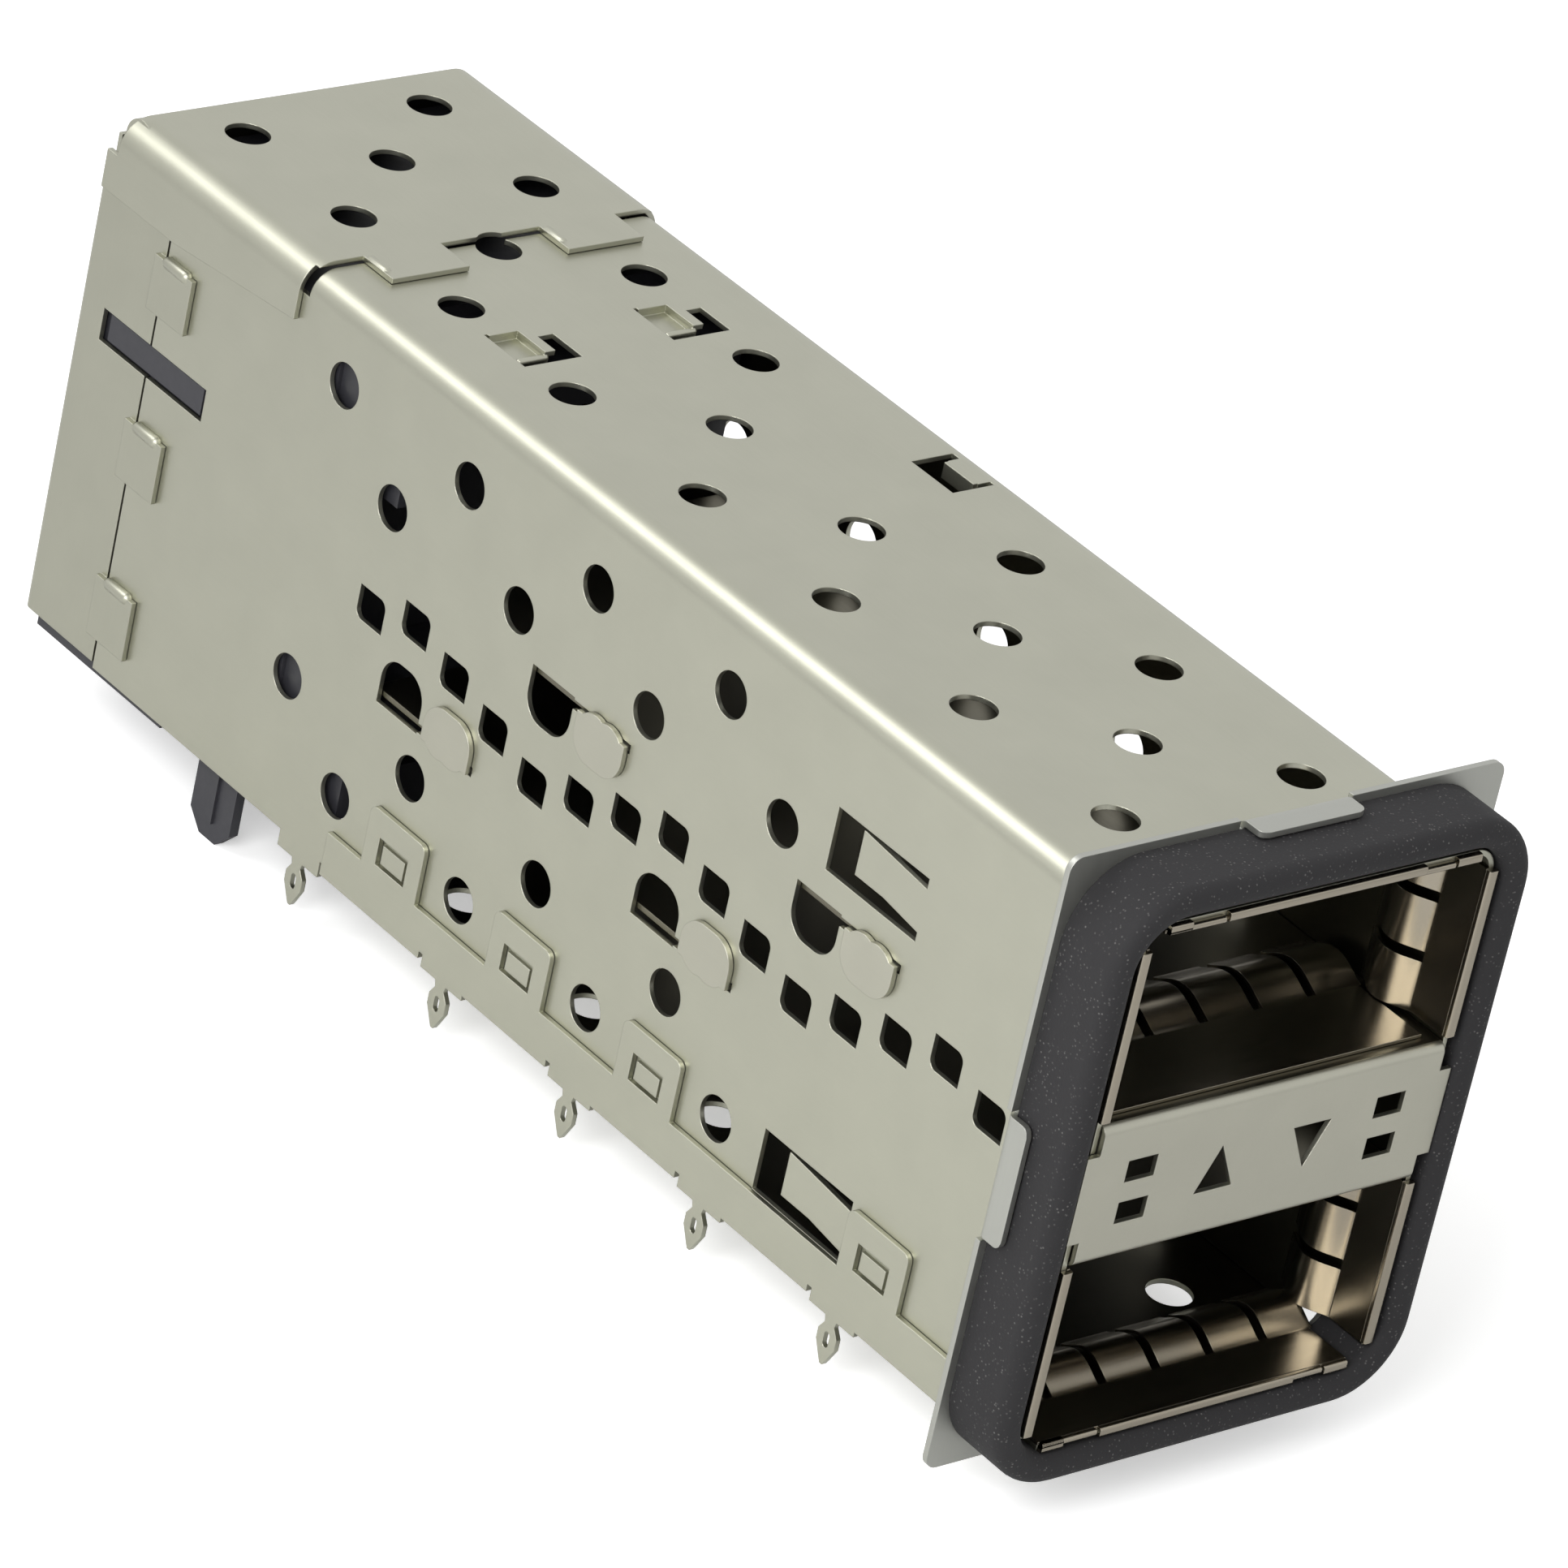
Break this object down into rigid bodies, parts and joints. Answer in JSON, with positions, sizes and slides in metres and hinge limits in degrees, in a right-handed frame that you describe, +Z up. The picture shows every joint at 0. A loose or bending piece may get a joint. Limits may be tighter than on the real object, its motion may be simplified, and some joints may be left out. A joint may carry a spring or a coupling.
{
  "type": "sfp cage",
  "caption": "Stacked two-port metal transceiver cage with vented walls, port divider, spring fingers, front retention plate, foam gasket, press-fit board pins and a rear connector.",
  "frame": {"origin": "on the board surface (underside of the bottom plate) at mid-width, straight below the front face of the retention plate", "axes": "+X across the ports, -Y out of the ports towards the panel, +Z up from the board"},
  "size_m": [0.0236, 0.0735, 0.0312],
  "materials": {
    "shell_steel": "satin nickel-plated sheet",
    "divider_steel": "satin plated sheet",
    "plate_steel": "smoother plated sheet",
    "spring_steel": "plated spring strip",
    "gasket_foam": "fine conductive foam",
    "connector_plastic": "moulded plastic",
    "contact_plating": "plated contact spring"
  },
  "bodies": {
    "root": {"cage_shell": "shell_steel", "rear_cover": "shell_steel", "back_plate": "shell_steel", "bottom_plate": "shell_steel", "port_divider": "divider_steel", "retention_plate": "plate_steel", "gasket": "gasket_foam", "upper_top_fingers": "spring_steel", "upper_bottom_fingers": "spring_steel", "upper_left_fingers": "spring_steel", "upper_right_fingers": "spring_steel", "lower_top_fingers": "spring_steel", "lower_bottom_fingers": "spring_steel", "lower_left_fingers": "spring_steel", "lower_right_fingers": "spring_steel", "connector_housing": "connector_plastic", "connector_base": "connector_plastic", "upper_row_high": "contact_plating", "upper_row_low": "contact_plating", "lower_row_high": "contact_plating", "lower_row_low": "contact_plating"}
  },
  "joints": []
}
